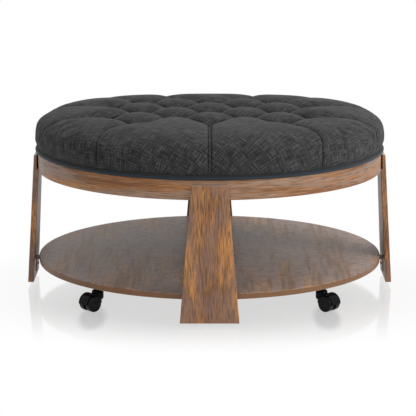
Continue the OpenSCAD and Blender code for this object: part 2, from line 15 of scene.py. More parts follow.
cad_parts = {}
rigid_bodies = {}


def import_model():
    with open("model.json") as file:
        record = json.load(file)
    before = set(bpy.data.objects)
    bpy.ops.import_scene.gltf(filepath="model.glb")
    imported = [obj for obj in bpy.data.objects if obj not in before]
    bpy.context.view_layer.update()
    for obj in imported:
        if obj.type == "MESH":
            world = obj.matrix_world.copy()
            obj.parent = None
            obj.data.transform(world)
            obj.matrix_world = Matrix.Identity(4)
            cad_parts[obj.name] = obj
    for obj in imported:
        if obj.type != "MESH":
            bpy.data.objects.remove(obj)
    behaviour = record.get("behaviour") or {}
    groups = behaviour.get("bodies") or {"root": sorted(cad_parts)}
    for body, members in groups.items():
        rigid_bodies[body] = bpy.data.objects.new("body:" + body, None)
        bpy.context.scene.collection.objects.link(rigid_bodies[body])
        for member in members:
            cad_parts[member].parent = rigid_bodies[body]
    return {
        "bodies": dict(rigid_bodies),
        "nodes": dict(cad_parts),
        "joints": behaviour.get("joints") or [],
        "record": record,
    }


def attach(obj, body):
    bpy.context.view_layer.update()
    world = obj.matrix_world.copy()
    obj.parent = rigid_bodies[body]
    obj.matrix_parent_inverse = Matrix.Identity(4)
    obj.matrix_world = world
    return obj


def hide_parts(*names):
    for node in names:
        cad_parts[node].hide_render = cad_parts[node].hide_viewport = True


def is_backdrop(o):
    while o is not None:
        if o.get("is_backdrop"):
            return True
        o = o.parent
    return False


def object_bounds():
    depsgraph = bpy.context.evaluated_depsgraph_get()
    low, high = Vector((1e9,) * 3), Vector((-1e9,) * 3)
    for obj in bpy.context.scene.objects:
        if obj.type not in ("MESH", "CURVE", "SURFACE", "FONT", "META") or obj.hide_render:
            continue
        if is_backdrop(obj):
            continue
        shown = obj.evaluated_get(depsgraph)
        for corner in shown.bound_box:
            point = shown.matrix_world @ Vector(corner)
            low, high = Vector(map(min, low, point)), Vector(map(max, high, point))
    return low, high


LOG = logging.getLogger("table")
BODY = "table"
CASTER_NAMES = ("front_left", "front_right", "back_left", "back_right")

Array = np.ndarray
Tree = bpy.types.NodeTree
Node = bpy.types.Node
Socket = bpy.types.NodeSocket
Point = tuple[float, float, float]
Colour = tuple[float, float, float, float]

BLACK: Colour = (0.0, 0.0, 0.0, 1.0)
WHITE: Colour = (1.0, 1.0, 1.0, 1.0)
# Least length that anything is divided by
TINY = 1e-9
# Distance within which two places count as the same
CLOSE = 1e-4
# For delaunay_2d_cdt: triangles inside the outline only, and the distance at which it merges points
INSIDE, MERGE = 1, 1e-5


def linear(hex_colour: str) -> Colour:
    """Turns an sRGB hex colour into a linear one.

    Args:
        hex_colour: The colour as six hex digits, such as "a07b4a".

    Returns:
        Red, green, blue and an alpha of 1, all linear.
    """
    channels = [int(hex_colour[i:i + 2], 16) / 255 for i in (0, 2, 4)]
    return (*[c / 12.92 if c <= 0.04045 else ((c + 0.055) / 1.055) ** 2.4 for c in channels], 1.0)


def add(tree: Tree, kind: str, inputs: dict | None = None,
        stops: list[tuple[float, str]] | None = None, **settings) -> Node:
    """Adds a node with its settings and links.

    Args:
        tree: The tree that takes the node.
        kind: The node's type name.
        inputs: Input name or number to a value, or to the socket that feeds it.
        stops: Position and hex colour of each stop, from low to high, for a node with a colour ramp.
        settings: Attributes of the node.

    Returns:
        The new node.
    """
    node = tree.nodes.new(kind)
    for name, value in settings.items():
        setattr(node, name, value)
    for key, value in (inputs or {}).items():
        if isinstance(value, Socket):
            tree.links.new(value, node.inputs[key])
        else:
            node.inputs[key].default_value = value
    for index, (position, colour) in enumerate(stops or []):
        elements = node.color_ramp.elements
        element = elements[index] if index < len(elements) else elements.new(position)
        element.position, element.color = position, linear(colour)
    return node


def mesh_object(name: str, points: Array, faces: list) -> bpy.types.Object:
    """Makes a smooth-shaded mesh object in the scene.

    Args:
        name: The piece's name.
        points: Points in metres, one row each.
        faces: Corner numbers of each face, counter-clockwise from outside.

    Returns:
        The new object.
    """
    mesh = bpy.data.meshes.new(name)
    mesh.from_pydata(np.asarray(points).tolist(), [], faces)
    mesh.validate()
    mesh.polygons.foreach_set("use_smooth", [True] * len(mesh.polygons))
    mesh.update()
    piece = bpy.data.objects.new(name, mesh)
    bpy.context.scene.collection.objects.link(piece)
    return piece


def ease(t: Array) -> Array:
    """Runs smoothly from 0 to 1 as t does."""
    u = np.clip(t, 0, 1)
    return u * u * (3 - 2 * u)


def tilt(tree: Tree) -> Socket:
    """Measures how far a face looks up or down.

    Args:
        tree: The tree that takes the nodes.

    Returns:
        0 where the face is upright, to 1 where it is level.
    """
    normal = add(tree, "ShaderNodeNewGeometry").outputs["Normal"]
    upward = add(tree, "ShaderNodeSeparateXYZ", {0: normal}).outputs[2]
    return add(tree, "ShaderNodeMath", {0: upward}, operation="ABSOLUTE").outputs[0]


def seen(tree: Tree) -> Socket:
    """Tells what is seen from what only lights the table.

    Args:
        tree: The tree that takes the nodes.

    Returns:
        1 for the camera's view and for a reflection, 0 for light that falls on the table.
    """
    paths = add(tree, "ShaderNodeLightPath")
    return add(tree, "ShaderNodeMath", {
        0: paths.outputs["Is Camera Ray"], 1: paths.outputs["Is Glossy Ray"],
    }, operation="MAXIMUM").outputs[0]


class Finish:
    """A finish that makes its Blender material once."""

    name: str = "finish"

    def surface(self, tree: Tree, shader: Node) -> None:
        """Sets the shader's sockets and the nodes that feed them."""
        raise NotImplementedError

    @staticmethod
    def connect(tree: Tree, shader: Node, colour: Socket, height: Socket, bump: tuple[float, float],
                values: dict[str, float]) -> None:
        """Feeds the shader its colour and its bump, and sets its other sockets.

        Args:
            tree: The material's tree.
            shader: The shader at its end.
            colour: What gives the colour.
            height: What gives the height of the bump, from 0 to 1.
            bump: The bump's strength, and its depth in millimetres.
            values: Name and value of each other socket.
        """
        strength, depth_mm = bump
        relief = add(tree, "ShaderNodeBump", {
            "Height": height, "Strength": strength, "Distance": depth_mm / 1000,
        })
        tree.links.new(colour, shader.inputs["Base Color"])
        tree.links.new(relief.outputs[0], shader.inputs["Normal"])
        for name, value in values.items():
            shader.inputs[name].default_value = value

    def material(self) -> bpy.types.Material:
        """Makes the material at the first call.

        Returns:
            The material.
        """
        material = bpy.data.materials.get(self.name)
        if material is None:
            material = bpy.data.materials.new(self.name)
            material.use_nodes = True
            tree = material.node_tree
            self.surface(tree, tree.nodes["Principled BSDF"])
        return material

    def dress(self, piece: bpy.types.Object) -> None:
        """Puts the material in every slot of a piece.

        Args:
            piece: The piece to dress.
        """
        if not piece.material_slots:
            piece.data.materials.append(None)
        for slot in piece.material_slots:
            slot.material = self.material()


def dress_all(nodes: dict[str, bpy.types.Object], wanted: dict[str, Finish]) -> None:
    """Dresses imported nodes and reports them.

    Args:
        nodes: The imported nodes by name.
        wanted: The finish of each node that is dressed here.
    """
    for name, finish in wanted.items():
        finish.dress(nodes[name])
        LOG.info("%s: %s", name, finish.name)


@dataclass(frozen=True)
class WovenLinen(Finish):
    """Linen-look upholstery cloth, plain woven from slubby heather yarn: matt, with a soft cross-hatch.

    The real yarns are about 0.7 mm apart, too fine to show in the render, so the cross-hatch is drawn from
    the slubs, the thicker stretches of yarn, which are yarn_mm wide and slub_mm long.
    """

    name: str = "woven_linen_charcoal"
    dark: str = "18181a"
    mid: str = "282829"
    light: str = "4d4d4e"
    yarn_mm: float = 2.0
    slub_mm: float = 34.0
    # Angle of the yarns to the table's front
    turn_deg: float = 38.0
    # Height of the pattern at which each of the three colours is reached
    levels: tuple[float, float, float] = (0.39, 0.5, 0.62)
    # Size of the clouds in the dye, and their share in the pattern
    cloud_mm: float = 71.43
    cloud_share: float = 0.12
    # How much darker the cloth is painted, as painted shade, where it is folded under in creases and pleats
    # and in the hollows along the creases
    painted_fold_shade: float = 0.75
    # Strength of the bump, and its depth in millimetres
    bump: tuple[float, float] = (0.6, 0.8)
    roughness: float = 0.95
    specular: float = 0.12
    sheen: float = 0.06
    sheen_roughness: float = 0.6

    def surface(self, tree: Tree, shader: Node) -> None:
        """Builds the weave from two crossing sets of stretched noise, and paints shade in the folds and
        hollows.

        Args:
            tree: The material's tree.
            shader: The shader at its end.
        """
        cloth = add(tree, "ShaderNodeAttribute", attribute_name="cloth").outputs["Vector"]
        turned = add(tree, "ShaderNodeVectorRotate", {"Vector": cloth, "Angle": math.radians(self.turn_deg)},
                     rotation_type="Z_AXIS").outputs["Vector"]
        threads = []
        for across in (0, 1):
            scale = [1000 / self.slub_mm] * 3
            scale[across] = 1000 / self.yarn_mm
            stretched = add(tree, "ShaderNodeVectorMath", {0: turned, 1: scale}, operation="MULTIPLY")
            threads.append(add(tree, "ShaderNodeTexNoise", {
                "Vector": stretched.outputs[0], "Scale": 1.0, "Detail": 2.0, "Roughness": 0.5,
            }).outputs[0])
        weave = add(tree, "ShaderNodeMix", {0: 0.5, 2: threads[0], 3: threads[1]}).outputs[0]
        clouds = add(tree, "ShaderNodeTexNoise", {
            "Vector": cloth, "Scale": 1000 / self.cloud_mm, "Detail": 4.0, "Roughness": 0.6,
        }).outputs[0]
        tone = add(tree, "ShaderNodeMix", {0: self.cloud_share, 2: weave, 3: clouds}).outputs[0]
        stops = list(zip(self.levels, (self.dark, self.mid, self.light)))
        colour = add(tree, "ShaderNodeValToRGB", {"Fac": tone}, stops=stops).outputs["Color"]
        # Painted shade: the folded attribute darkens the cloth in the folds and in the hollows along the
        # creases
        folded = add(tree, "ShaderNodeAttribute", attribute_name="folded").outputs["Fac"]
        shade = add(tree, "ShaderNodeMath", {0: folded, 1: self.painted_fold_shade}, operation="MULTIPLY").outputs[0]
        shaded = add(tree, "ShaderNodeMix", {0: shade, 6: colour, 7: BLACK}, data_type="RGBA").outputs[2]
        self.connect(tree, shader, shaded, weave, self.bump, {
            "Roughness": self.roughness, "Specular IOR Level": self.specular,
            "Sheen Weight": self.sheen, "Sheen Roughness": self.sheen_roughness,
        })


@dataclass(frozen=True)
class PlainCloth(Finish):
    """Tightly woven or non-woven cloth: matt, with a fine even grain.

    The real threads are about 0.4 mm apart, too fine to show in the render, so the grain is drawn coarser.
    """

    name: str = "piping_cloth_navy"
    dark: str = "0c131a"
    light: str = "202c38"
    grain_mm: float = 1.6
    # Height of the grain at which each of the two colours is reached
    levels: tuple[float, float] = (0.3, 0.7)
    # How much darker the cloth is painted where its face looks up or down, as painted shade in the gaps above
    # and below the piping, and the tilt of its face where that starts and where it is complete
    painted_edge_shade: float = 0.0
    painted_shade_tilt: tuple[float, float] = (0.25, 0.7)
    # Strength of the bump, and its depth in millimetres
    bump: tuple[float, float] = (0.5, 0.4)
    roughness: float = 0.85
    specular: float = 0.25
    sheen: float = 0.15

    def surface(self, tree: Tree, shader: Node) -> None:
        """Builds the grain from fine noise, and paints shade where the face looks up or down.

        Args:
            tree: The material's tree.
            shader: The shader at its end.
        """
        place = add(tree, "ShaderNodeTexCoord").outputs["Object"]
        grain = add(tree, "ShaderNodeTexNoise", {
            "Vector": place, "Scale": 1000 / self.grain_mm, "Detail": 2.0, "Roughness": 0.6,
        }).outputs[0]
        stops = list(zip(self.levels, (self.dark, self.light)))
        colour = add(tree, "ShaderNodeValToRGB", {"Fac": grain}, stops=stops).outputs["Color"]
        # Painted shade: darker where the face looks up or down, where shade falls above and below the piping
        shade = add(tree, "ShaderNodeMapRange", {
            "Value": tilt(tree), "From Min": self.painted_shade_tilt[0], "From Max": self.painted_shade_tilt[1],
            "To Max": self.painted_edge_shade,
        }).outputs[0]
        shaded = add(tree, "ShaderNodeMix", {0: shade, 6: colour, 7: BLACK}, data_type="RGBA").outputs[2]
        self.connect(tree, shader, shaded, grain, self.bump, {
            "Roughness": self.roughness, "Specular IOR Level": self.specular, "Sheen Weight": self.sheen,
        })


class Grain(Enum):
    """Direction in which the wood fibres run."""

    UP_FACING_Y = "up a board that faces the front or the back"
    UP_FACING_X = "up a board that faces a side"
    ROUND = "round the ring"
    ACROSS = "from side to side"
    BACK = "from front to back"


@dataclass(frozen=True)
class RusticOak(Finish):
    """Oak veneer, stained orange brown and rubbed back by hand.

    The stain sinks into the pores and wears off the raised grain, so the eye sees short dark fibres, ragged
    patches of bare mauve grey and a satin face that goes pale where it is seen at a low angle. Real pores
    are about 0.3 mm wide, too fine to show in the render, so fibres and pores are drawn coarser.
    """

    name: str = "rustic_oak"
    grain: Grain = Grain.ACROSS
    dark: str = "66401f"
    mid: str = "95653a"
    light: str = "b98046"
    # Height of the pattern at which each of the three colours is reached
    levels: tuple[float, float, float] = (0.39, 0.5, 0.61)
    # Colour and share of the bare patches, the height of their pattern at which they start, and how much
    # higher they are complete
    bare: str = "73574a"
    bare_share: float = 0.8
    bare_from: float = 0.49
    bare_fade: float = 0.07
    # Colour and share of the pores, and the heights of their pattern at which they start and are complete
    pore: str = "45301f"
    pore_share: float = 0.7
    pore_levels: tuple[float, float] = (0.53, 0.62)
    # Colour and share of the end grain, and the tilt of a face where it starts and where it is complete
    end: str = "a39a94"
    end_share: float = 0.85
    end_tilt: tuple[float, float] = (0.6, 0.9)
    fibre_mm: float = 2.2
    fibre_length_mm: float = 220.0
    pore_mm: float = 2.0
    pore_length_mm: float = 150.0
    patch_mm: float = 36.0
    patch_length_mm: float = 130.0
    # Length of the broad bands of tone against the patches, and their share in the tone
    band_stretch: float = 1.6
    band_share: float = 0.4
    # Share of the fibres in the outline of the patches, which makes it ragged
    ragged_share: float = 0.38
    # Strength of the bump, and its depth in millimetres
    bump: tuple[float, float] = (0.25, 0.6)
    roughness: float = 0.42
    specular: float = 0.4
    # Where in the log the board was cut, which picks its pattern
    start_mm: float = 0.0
    # Distance in metres from the middle of the ring to its face
    ring_radius: float = 0.45

    def fibres(self, tree: Tree) -> Socket:
        """Turns the board's coordinates to its fibres.

        Args:
            tree: The tree that takes the nodes.

        Returns:
            Coordinates in metres with the fibres along X.
        """
        place = add(tree, "ShaderNodeTexCoord").outputs["Object"]
        x, y, z = add(tree, "ShaderNodeSeparateXYZ", {0: place}).outputs
        if self.grain is Grain.UP_FACING_Y:
            order = (z, x, y)
        elif self.grain is Grain.UP_FACING_X:
            order = (z, y, x)
        elif self.grain is Grain.ACROSS:
            order = (x, y, z)
        elif self.grain is Grain.BACK:
            order = (y, x, z)
        else:
            turn = add(tree, "ShaderNodeMath", {0: y, 1: x}, operation="ARCTAN2").outputs[0]
            along = add(tree, "ShaderNodeMath", {0: turn, 1: self.ring_radius}, operation="MULTIPLY")
            order = (along.outputs[0], z, z)
        board = add(tree, "ShaderNodeCombineXYZ", dict(enumerate(order))).outputs[0]
        start = (self.start_mm / 1000, 0.0, 0.0)
        return add(tree, "ShaderNodeVectorMath", {0: board, 1: start}, operation="ADD").outputs[0]

    def streak_pattern(self, tree: Tree, fibres: Socket, width: float, length: float,
                       detail: float) -> Socket:
        """Builds a pattern of streaks drawn out along the fibres.

        Args:
            tree: The tree that takes the nodes.
            fibres: Coordinates in metres with the fibres along X.
            width: Width of a streak in millimetres.
            length: Length of a streak in millimetres.
            detail: Octaves of finer noise.

        Returns:
            The pattern, from 0 to 1.
        """
        scale = (1000 / length, 1000 / width, 1000 / width)
        stretched = add(tree, "ShaderNodeVectorMath", {0: fibres, 1: scale}, operation="MULTIPLY")
        return add(tree, "ShaderNodeTexNoise", {
            "Vector": stretched.outputs[0], "Scale": 1.0, "Detail": detail, "Roughness": 0.6,
            "Distortion": 0.1,
        }).outputs[0]

    def surface(self, tree: Tree, shader: Node) -> None:
        """Builds the fibres, the bare patches, the pores and the end grain.

        Args:
            tree: The material's tree.
            shader: The shader at its end.
        """
        fibres = self.fibres(tree)
        streaks = self.streak_pattern(tree, fibres, self.fibre_mm, self.fibre_length_mm, 2.0)
        band_length_mm = self.patch_length_mm * self.band_stretch
        bands = self.streak_pattern(tree, fibres, self.patch_mm, band_length_mm, 1.0)
        patches = self.streak_pattern(tree, fibres, self.patch_mm, self.patch_length_mm, 2.0)
        pores = self.streak_pattern(tree, fibres, self.pore_mm, self.pore_length_mm, 1.0)
        tone = add(tree, "ShaderNodeMix", {0: self.band_share, 2: streaks, 3: bands}).outputs[0]
        stops = list(zip(self.levels, (self.dark, self.mid, self.light)))
        colour = add(tree, "ShaderNodeValToRGB", {"Fac": tone}, stops=stops).outputs["Color"]
        ragged = add(tree, "ShaderNodeMix", {0: self.ragged_share, 2: patches, 3: streaks}).outputs[0]
        bare_levels = (self.bare_from, self.bare_from + self.bare_fade)
        for pattern, (low, high), rise, share, over in (
            (ragged, bare_levels, "SMOOTHSTEP", self.bare_share, self.bare),
            (pores, self.pore_levels, "LINEAR", self.pore_share, self.pore),
            (tilt(tree), self.end_tilt, "LINEAR", self.end_share, self.end),
        ):
            cover = add(tree, "ShaderNodeMapRange", {
                "Value": pattern, "From Min": low, "From Max": high, "To Max": share,
            }, interpolation_type=rise).outputs[0]
            colour = add(tree, "ShaderNodeMix", {0: cover, 6: colour, 7: linear(over)},
                         data_type="RGBA").outputs[2]
        height = add(tree, "ShaderNodeMix", {0: 0.5, 2: streaks, 3: pores}).outputs[0]
        self.connect(tree, shader, colour, height, self.bump, {
            "Roughness": self.roughness, "Specular IOR Level": self.specular,
        })


@dataclass(frozen=True)
class MouldedNylon(Finish):
    """Injection-moulded nylon: an even colour with a fine eroded texture and a soft gloss.

    The real texture is about 0.1 mm fine, too fine to show in the render, so it is drawn coarser.
    """

    name: str = "moulded_nylon_black"
    colour: str = "030304"
    worn: str = "0a0a0b"
    texture_mm: float = 0.8
    # Size of the scuffs, and the height of their pattern at which each of the two colours is reached
    scuff_mm: float = 11.11
    levels: tuple[float, float] = (0.45, 0.75)
    # Strength of the bump, and its depth in millimetres
    bump: tuple[float, float] = (0.12, 0.2)
    roughness: float = 0.33
    specular: float = 0.08

    def surface(self, tree: Tree, shader: Node) -> None:
        """Builds the eroded texture and faint scuffs.

        Args:
            tree: The material's tree.
            shader: The shader at its end.
        """
        place = add(tree, "ShaderNodeTexCoord").outputs["Object"]
        texture = add(tree, "ShaderNodeTexNoise", {
            "Vector": place, "Scale": 1000 / self.texture_mm, "Detail": 2.0,
        }).outputs[0]
        scuffs = add(tree, "ShaderNodeTexNoise", {
            "Vector": place, "Scale": 1000 / self.scuff_mm, "Detail": 5.0,
        }).outputs[0]
        stops = list(zip(self.levels, (self.colour, self.worn)))
        colour = add(tree, "ShaderNodeValToRGB", {"Fac": scuffs}, stops=stops).outputs["Color"]
        self.connect(tree, shader, colour, texture, self.bump, {
            "Roughness": self.roughness, "Specular IOR Level": self.specular,
        })


@dataclass(frozen=True)
class PlatedMetal(Finish):
    """Pressed or turned metal, zinc plated, coated or bare: a faintly clouded face with a satin gloss."""

    name: str = "zinc_plated_steel"
    colour: str = "a9adb2"
    shade: str = "83878d"
    # Size of the clouds, and the height of their pattern at which each of the two colours is reached
    cloud_mm: float = 4.545
    levels: tuple[float, float] = (0.35, 0.65)
    # Strength of the bump, and its depth in millimetres
    bump: tuple[float, float] = (0.08, 0.2)
    metallic: float = 1.0
    roughness: float = 0.34

    def surface(self, tree: Tree, shader: Node) -> None:
        """Builds the clouds in the plating or the coat.

        Args:
            tree: The material's tree.
            shader: The shader at its end.
        """
        place = add(tree, "ShaderNodeTexCoord").outputs["Object"]
        clouds = add(tree, "ShaderNodeTexNoise", {
            "Vector": place, "Scale": 1000 / self.cloud_mm, "Detail": 4.0,
        }).outputs[0]
        stops = list(zip(self.levels, (self.shade, self.colour)))
        colour = add(tree, "ShaderNodeValToRGB", {"Fac": clouds}, stops=stops).outputs["Color"]
        self.connect(tree, shader, colour, clouds, self.bump, {
            "Metallic": self.metallic, "Roughness": self.roughness,
        })


@dataclass
class PhotoCamera:
    """The camera that took the photograph, in metres and in pixels of its 416 by 416 frame."""

    distance: float = 4.55807
    height: float = 1.15339
    pitch: float = 0.208
    focal_px: float = 1755.96
    centre_px: tuple[float, float] = (209.63, 209.0)
    frame_px: float = 416.0
    sensor_mm: float = 36.0

    def build(self) -> None:
        """Creates the camera and makes it the scene's."""
        data = bpy.data.cameras.new("photo_camera")
        data.sensor_width = self.sensor_mm
        data.lens = self.sensor_mm * self.focal_px / self.frame_px
        data.shift_x = (self.frame_px / 2 - self.centre_px[0]) / self.frame_px
        data.shift_y = (self.centre_px[1] - self.frame_px / 2) / self.frame_px
        camera = bpy.data.objects.new("photo_camera", data)
        camera.location = (0, -self.distance, self.height)
        camera.rotation_euler = (math.pi / 2 - self.pitch, 0, 0)
        bpy.context.scene.collection.objects.link(camera)
        bpy.context.scene.camera = camera


@dataclass
class Studio:
    """White floor with a faint gloss near the table, white surroundings and soft lamps."""

    floor_size: float = 30.0
    floor_colour: str = "f2f2f2"
    # Share of the table's shadow and of the gloss at the middle of their areas: the rest is plain white
    shadow_share: float = 0.09
    gloss_share: float = 0.30
    gloss_roughness: float = 0.1
    # Middle and half axes of the two areas, and the share of the way out where each starts to fade
    shadow_middle: Point = (0.0, -0.29, 0.0)
    shadow_radii: Point = (0.54, 0.38, 1.0)
    gloss_middle: Point = (0.0, -0.10, 0.0)
    gloss_radii: Point = (0.84, 0.62, 1.0)
    fade_from: float = 0.5
    # Soft patch in front of each caster, which stands for its shadow and its mirror image
    patch_x: float = 0.288
    patch_y: tuple[float, float] = (-0.39, 0.222)
    patch_radii: Point = (0.043, 0.14, 1.0)
    patch_share: float = 0.21
    # Strength of the light from all sides
    fill: float = 0.42
    # Name, place, size and power of each lamp, and the point at which they are aimed
    lamps: tuple[tuple[str, Point, float, float], ...] = (
        ("key", (3.6, -2.2, 2.2), 2.2, 125.0),
        ("front", (-0.7, -4.4, 2.2), 2.6, 48.0),
        ("top", (1.4, 0.3, 3.4), 2.4, 60.0),
    )
    lamp_aim: Point = (0.0, 0.0, 0.3)

    def lamp(self, name: str, place: Point, size: float, power: float) -> None:
        """Adds an area lamp that points at the table.

        Args:
            name: The lamp's name.
            place: Its position in metres.
            size: The side of its square in metres.
            power: Its power in watts.
        """
        data = bpy.data.lights.new(name, "AREA")
        data.size = size
        data.energy = power
        lamp = bpy.data.objects.new(name, data)
        lamp.location = place
        x, y, z = np.array(self.lamp_aim) - np.array(place)
        lamp.rotation_euler = (math.atan2(math.hypot(x, y), -z), 0, math.atan2(y, x) - math.pi / 2)
        bpy.context.scene.collection.objects.link(lamp)

    def fading(self, tree: Tree, place: Socket, middle: Point, radii: Point, share: float) -> Socket:
        """Builds a share that fades out towards the edge of an ellipse.

        Args:
            tree: The tree that takes the nodes.
            place: Coordinates in metres.
            middle: The ellipse's middle.
            radii: Its half axes.
            share: The share at the middle.

        Returns:
            The share.
        """
        moved = add(tree, "ShaderNodeVectorMath", {0: place, 1: middle}, operation="SUBTRACT").outputs[0]
        scaled = add(tree, "ShaderNodeVectorMath", {0: moved, 1: radii}, operation="DIVIDE").outputs[0]
        away = add(tree, "ShaderNodeVectorMath", {0: scaled}, operation="LENGTH").outputs["Value"]
        return add(tree, "ShaderNodeMapRange", {
            "Value": away, "From Min": self.fade_from, "From Max": 1.0, "To Min": share, "To Max": 0.0,
        }, interpolation_type="SMOOTHSTEP").outputs[0]

    def build_floor(self) -> None:
        """Lays the floor, which shows the table's shadow and reflection near it and is white further off."""
        half = self.floor_size / 2
        corners = np.array([(-half, -half, 0), (half, -half, 0), (half, half, 0), (-half, half, 0)])
        floor = mesh_object("floor", corners, [(0, 1, 2, 3)])
        material = bpy.data.materials.new("studio_floor")
        material.use_nodes = True
        tree = material.node_tree
        tree.nodes.clear()
        place = add(tree, "ShaderNodeTexCoord").outputs["Object"]
        shadow = self.fading(tree, place, self.shadow_middle, self.shadow_radii, self.shadow_share)
        sheen = self.fading(tree, place, self.gloss_middle, self.gloss_radii, self.gloss_share)
        paper = add(tree, "ShaderNodeBsdfDiffuse", {"Color": linear(self.floor_colour)})
        gloss = add(tree, "ShaderNodeBsdfGlossy", {"Roughness": self.gloss_roughness})
        white = add(tree, "ShaderNodeEmission", {"Color": WHITE, "Strength": 1.0})
        shaded = add(tree, "ShaderNodeMixShader", {0: shadow, 1: white.outputs[0], 2: paper.outputs[0]})
        shown = add(tree, "ShaderNodeMixShader", {0: sheen, 1: shaded.outputs[0], 2: gloss.outputs[0]})
        # Painted shadow and reflection: a soft black patch on the floor in front of each caster
        black = add(tree, "ShaderNodeEmission", {"Strength": 0.0})
        for x in (-self.patch_x, self.patch_x):
            for y in self.patch_y:
                patch = self.fading(tree, place, (x, y, 0.0), self.patch_radii, self.patch_share)
                shown = add(tree, "ShaderNodeMixShader", {0: patch, 1: shown.outputs[0], 2: black.outputs[0]})
        mix = add(tree, "ShaderNodeMixShader", {0: seen(tree), 1: paper.outputs[0], 2: shown.outputs[0]})
        add(tree, "ShaderNodeOutputMaterial", {0: mix.outputs[0]})
        floor.data.materials.append(material)
        floor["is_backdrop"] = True

    def build_world(self) -> None:
        """Surrounds the table with white for the eye and for gloss, and a plain fill for the light."""
        world = bpy.data.worlds.new("studio")
        world.use_nodes = True
        bpy.context.scene.world = world
        tree = world.node_tree
        tree.nodes.clear()
        fill = add(tree, "ShaderNodeBackground", {"Color": WHITE, "Strength": self.fill})
        white = add(tree, "ShaderNodeBackground", {"Color": WHITE, "Strength": 1.0})
        mix = add(tree, "ShaderNodeMixShader", {0: seen(tree), 1: fill.outputs[0], 2: white.outputs[0]})
        add(tree, "ShaderNodeOutputWorld", {0: mix.outputs[0]})

    def build(self) -> None:
        """Builds the floor, the surroundings and the lamps."""
        self.build_floor()
        self.build_world()
        for name, place, size, power in self.lamps:
            self.lamp(name, place, size, power)


